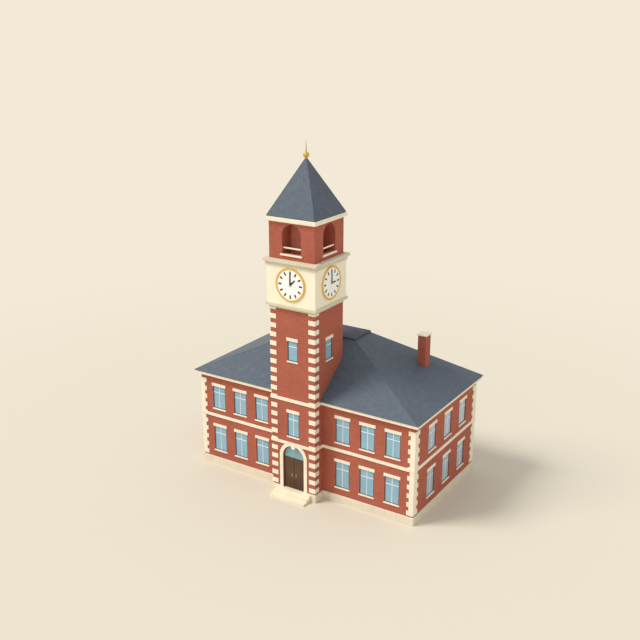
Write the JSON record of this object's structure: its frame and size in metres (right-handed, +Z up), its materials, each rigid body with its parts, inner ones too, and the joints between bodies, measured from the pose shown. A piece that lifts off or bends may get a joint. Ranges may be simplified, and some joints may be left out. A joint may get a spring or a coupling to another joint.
{
  "type": "town hall building",
  "caption": "Brick town hall with a hipped slate roof, cream stone quoins and window dressings, and a central clock tower over an arched double door.",
  "frame": {"origin": "centre of the whole box in plan, at ground level", "axes": "+Z up, +X to the right along the front, +Y from the front to the back"},
  "size_m": [22.9, 14.83, 30.65],
  "materials": {
    "brick": "matt fired brick",
    "stone": "matt cream stone",
    "plaster": "matt cream render",
    "slate": "matt riven slate",
    "deck": "matt lead grey",
    "floor": "matt boards",
    "window_paint": "satin white paint",
    "frame_paint": "satin dark paint",
    "glass": "clear",
    "door_wood": "satin dark stain",
    "brass": "polished",
    "gilding": "gilded, satin",
    "dial": "satin white",
    "black_metal": "satin black"
  },
  "bodies": {
    "building": {"block_floors": "floor", "tower_floors": "floor", "front_wall_left": "brick", "front_wall_right": "brick", "left_wall": "brick", "right_wall": "brick", "back_wall": "brick", "tower_piers": "brick", "tower_front_wall": "brick", "tower_right_wall": "brick", "tower_back_wall": "brick", "tower_left_wall": "brick", "chimney_stack": "brick", "belfry_piers": "brick", "belfry_walls": "brick", "belfry_recesses": "brick", "plinth": "stone", "string_courses": "stone", "corner_quoins": "stone", "tower_quoins": "stone", "window_dressings": "stone", "eaves_cornice": "stone", "chimney_cap": "stone", "entrance_steps": "stone", "door_surround": "stone", "tower_cornices": "stone", "belfry_sills": "stone", "belfry_rails": "stone", "clock_walls": "plaster", "hip_roof": "slate", "spire_roof": "slate", "roof_deck": "deck", "window_frames": "frame_paint", "window_glass": "glass", "fanlight_glass": "glass", "door_frame": "door_wood", "door_hinges": "brass", "dial_rims": "gilding", "finial": "gilding", "clock_dials": "dial", "hour_marks": "black_metal"},
    "leaf_right": {"door_leaf_right": "door_wood", "leaf_fittings_right": "brass"},
    "leaf_left": {"door_leaf_left": "door_wood", "leaf_fittings_left": "brass"},
    "minute_front": {"minute_hand_front": "black_metal"},
    "hour_front": {"hour_hand_front": "black_metal"},
    "minute_right": {"minute_hand_right": "black_metal"},
    "hour_right": {"hour_hand_right": "black_metal"},
    "minute_back": {"minute_hand_back": "black_metal"},
    "hour_back": {"hour_hand_back": "black_metal"},
    "minute_left": {"minute_hand_left": "black_metal"},
    "hour_left": {"hour_hand_left": "black_metal"}
  },
  "joints": [
    {"name": "door_right_swing", "type": "hinge", "parent": "building", "child": "leaf_right", "pos_m": [0.993, -6.0305, 2.1], "axis": [0, 0, -1], "range_deg": [0, 90]},
    {"name": "door_left_swing", "type": "hinge", "parent": "building", "child": "leaf_left", "pos_m": [-0.993, -6.0305, 2.1], "axis": [0, 0, 1], "range_deg": [0, 90]},
    {"name": "minute_front_turn", "type": "hinge", "parent": "building", "child": "minute_front", "pos_m": [0, -6.415, 19.3], "axis": [0, 1, 0], "continuous": true},
    {"name": "hour_front_turn", "type": "hinge", "parent": "building", "child": "hour_front", "pos_m": [0, -6.415, 19.3], "axis": [0, 1, 0], "continuous": true},
    {"name": "minute_right_turn", "type": "hinge", "parent": "building", "child": "minute_right", "pos_m": [2.38, -4.035, 19.3], "axis": [-1, 0, 0], "continuous": true},
    {"name": "hour_right_turn", "type": "hinge", "parent": "building", "child": "hour_right", "pos_m": [2.38, -4.035, 19.3], "axis": [-1, 0, 0], "continuous": true},
    {"name": "minute_back_turn", "type": "hinge", "parent": "building", "child": "minute_back", "pos_m": [0, -1.655, 19.3], "axis": [0, -1, 0], "continuous": true},
    {"name": "hour_back_turn", "type": "hinge", "parent": "building", "child": "hour_back", "pos_m": [0, -1.655, 19.3], "axis": [0, -1, 0], "continuous": true},
    {"name": "minute_left_turn", "type": "hinge", "parent": "building", "child": "minute_left", "pos_m": [-2.38, -4.035, 19.3], "axis": [1, 0, 0], "continuous": true},
    {"name": "hour_left_turn", "type": "hinge", "parent": "building", "child": "hour_left", "pos_m": [-2.38, -4.035, 19.3], "axis": [1, 0, 0], "continuous": true}
  ],
  "couplings": [
    {"joint": "hour_front_turn", "follows": "minute_front_turn", "ratio": 0.083333},
    {"joint": "minute_right_turn", "follows": "minute_front_turn", "ratio": 1},
    {"joint": "hour_right_turn", "follows": "minute_front_turn", "ratio": 0.083333},
    {"joint": "minute_back_turn", "follows": "minute_front_turn", "ratio": 1},
    {"joint": "hour_back_turn", "follows": "minute_front_turn", "ratio": 0.083333},
    {"joint": "minute_left_turn", "follows": "minute_front_turn", "ratio": 1},
    {"joint": "hour_left_turn", "follows": "minute_front_turn", "ratio": 0.083333}
  ]
}
